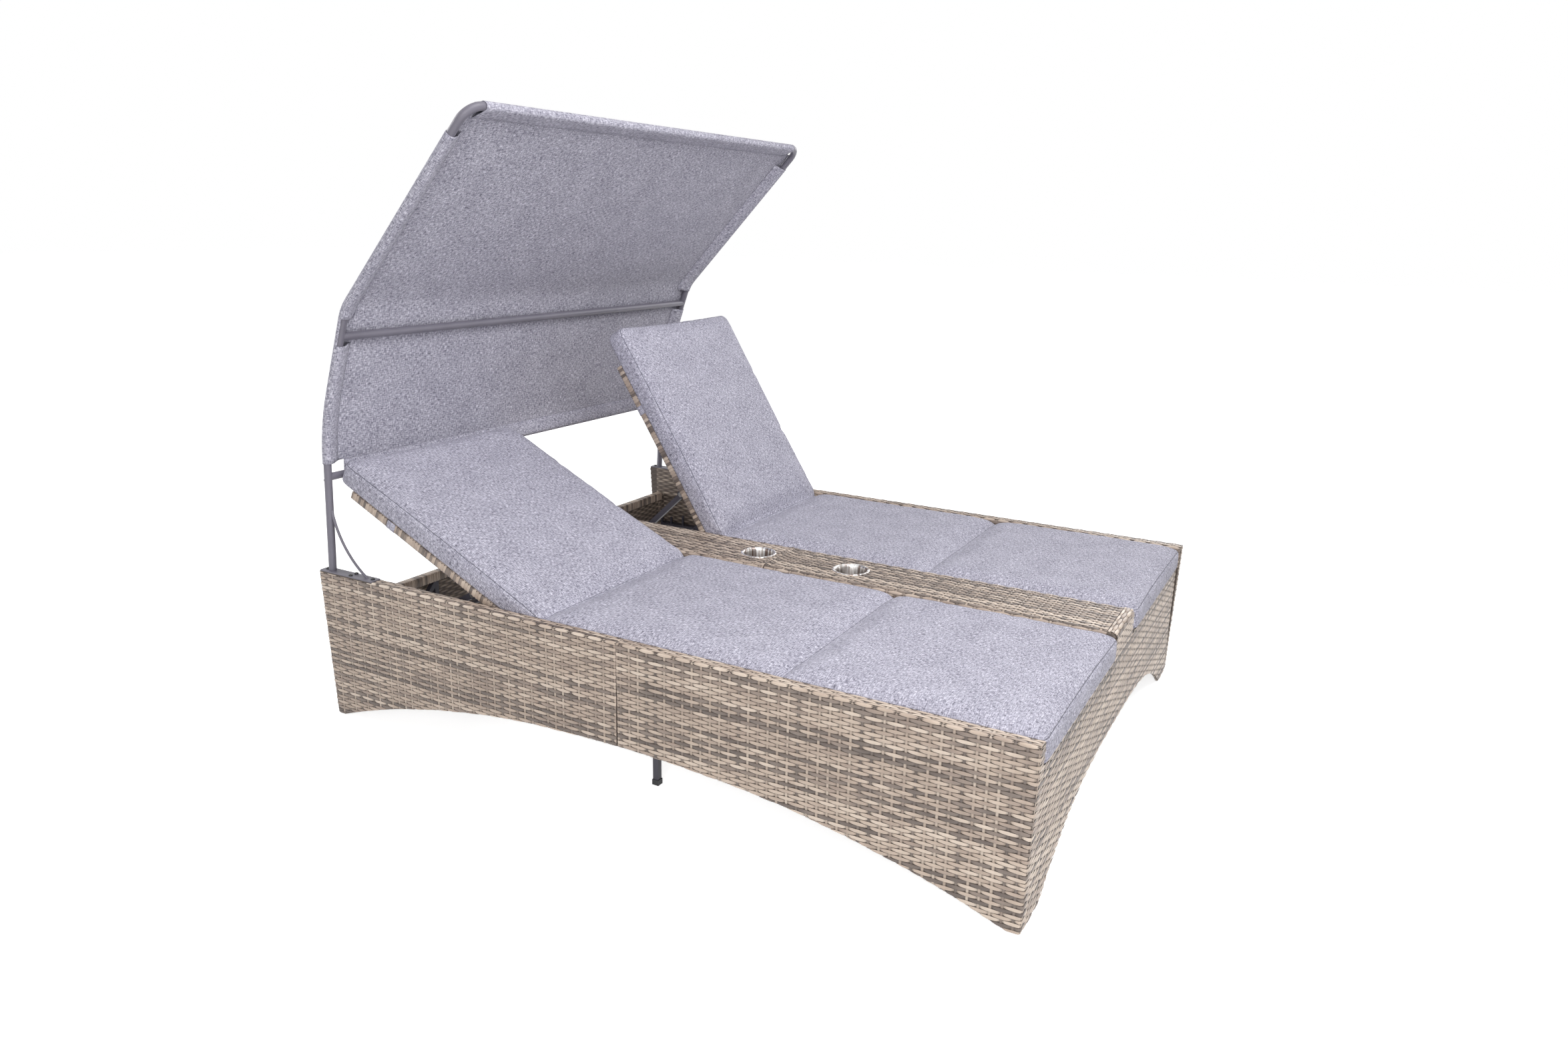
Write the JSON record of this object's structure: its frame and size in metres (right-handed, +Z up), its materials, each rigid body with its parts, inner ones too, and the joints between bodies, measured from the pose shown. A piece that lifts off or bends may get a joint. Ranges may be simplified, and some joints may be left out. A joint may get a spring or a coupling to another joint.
{
  "type": "double chaise lounger",
  "caption": "Woven double sun lounger with a bent tube canopy, thick cushions, tilting backrests on notched racks and a centre console with drop-in cups.",
  "frame": {"origin": "on the floor, under the middle of the lounger", "axes": "+Z up, +Y towards the head end and canopy, +X towards the far bed, whose backrest stands steeper"},
  "size_m": [1.55, 1.96, 1.5766],
  "materials": {
    "woven_strip": "flat woven plastic strip, mixed beige and grey brown",
    "grey_steel": "satin powder coat",
    "cushion_fabric": "linen weave, melange grey",
    "canopy_fabric": "linen weave, melange grey",
    "stainless": "polished",
    "black_plastic": "matt",
    "black_bolt": "black coated",
    "pin_steel": "zinc plated"
  },
  "bodies": {
    "base_and_canopy": {"base_plates": "grey_steel", "brace_rods": "grey_steel", "canopy_cloth": "canopy_fabric", "canopy_posts": "grey_steel", "console_foot_cover": "woven_strip", "console_frame": "grey_steel", "console_head_cover": "woven_strip", "corner_glides": "black_plastic", "crossbar_stubs": "grey_steel", "end_panel_frames": "grey_steel", "far_canopy_side_tube": "grey_steel", "far_deck_frame": "grey_steel", "far_foot_end_panel": "woven_strip", "far_foot_side_panel": "woven_strip", "far_head_end_panel": "woven_strip", "far_head_side_panel": "woven_strip", "far_leg_cushion": "cushion_fabric", "far_seat_cushion": "cushion_fabric", "far_seat_deck": "woven_strip", "foot_cup": "stainless", "front_bar": "grey_steel", "head_cup": "stainless", "hinge_pins": "pin_steel", "hinge_plates": "grey_steel", "leg_caps": "black_plastic", "lower_crossbar": "grey_steel", "middle_crossbar": "grey_steel", "middle_legs": "grey_steel", "module_bolts": "black_bolt", "near_canopy_side_tube": "grey_steel", "near_deck_frame": "grey_steel", "near_foot_end_panel": "woven_strip", "near_foot_side_panel": "woven_strip", "near_head_end_panel": "woven_strip", "near_head_side_panel": "woven_strip", "near_leg_cushion": "cushion_fabric", "near_seat_cushion": "cushion_fabric", "near_seat_deck": "woven_strip", "plate_bolts": "black_bolt", "post_screws": "black_bolt", "racks": "grey_steel", "seam_clips": "black_plastic", "side_panel_frames": "grey_steel"},
    "near_backrest": {"near_back_cushion": "cushion_fabric", "near_backrest_frame": "grey_steel", "near_backrest_weave": "woven_strip", "near_cushion_straps": "cushion_fabric", "near_prop_ears": "grey_steel", "near_prop_pins": "pin_steel"},
    "near_prop": {"near_prop_legs": "grey_steel", "near_prop_foot_rod": "grey_steel"},
    "far_backrest": {"far_back_cushion": "cushion_fabric", "far_backrest_frame": "grey_steel", "far_backrest_weave": "woven_strip", "far_cushion_straps": "cushion_fabric", "far_prop_ears": "grey_steel", "far_prop_pins": "pin_steel"},
    "far_prop": {"far_prop_legs": "grey_steel", "far_prop_foot_rod": "grey_steel"}
  },
  "joints": [
    {"name": "near_backrest_tilt", "type": "hinge", "parent": "base_and_canopy", "child": "near_backrest", "pos_m": [0, 0.305, 0.356], "axis": [1, 0, 0], "range_deg": [-25.2, 44.8]},
    {"name": "near_prop_fold", "type": "hinge", "parent": "near_backrest", "child": "near_prop", "pos_m": [0, 0.4898, 0.41422], "axis": [1, 0, 0], "range_deg": [-65.5, 36.9]},
    {"name": "far_backrest_tilt", "type": "hinge", "parent": "base_and_canopy", "child": "far_backrest", "pos_m": [0, 0.305, 0.356], "axis": [1, 0, 0], "range_deg": [-57.5, 12.5]},
    {"name": "far_prop_fold", "type": "hinge", "parent": "far_backrest", "child": "far_prop", "pos_m": [0, 0.43009, 0.50396], "axis": [1, 0, 0], "range_deg": [-18.3, 84]}
  ],
  "couplings": [
    {"joint": "near_prop_fold", "follows": "near_backrest_tilt", "ratio": -1.46},
    {"joint": "far_prop_fold", "follows": "far_backrest_tilt", "ratio": -1.46}
  ]
}
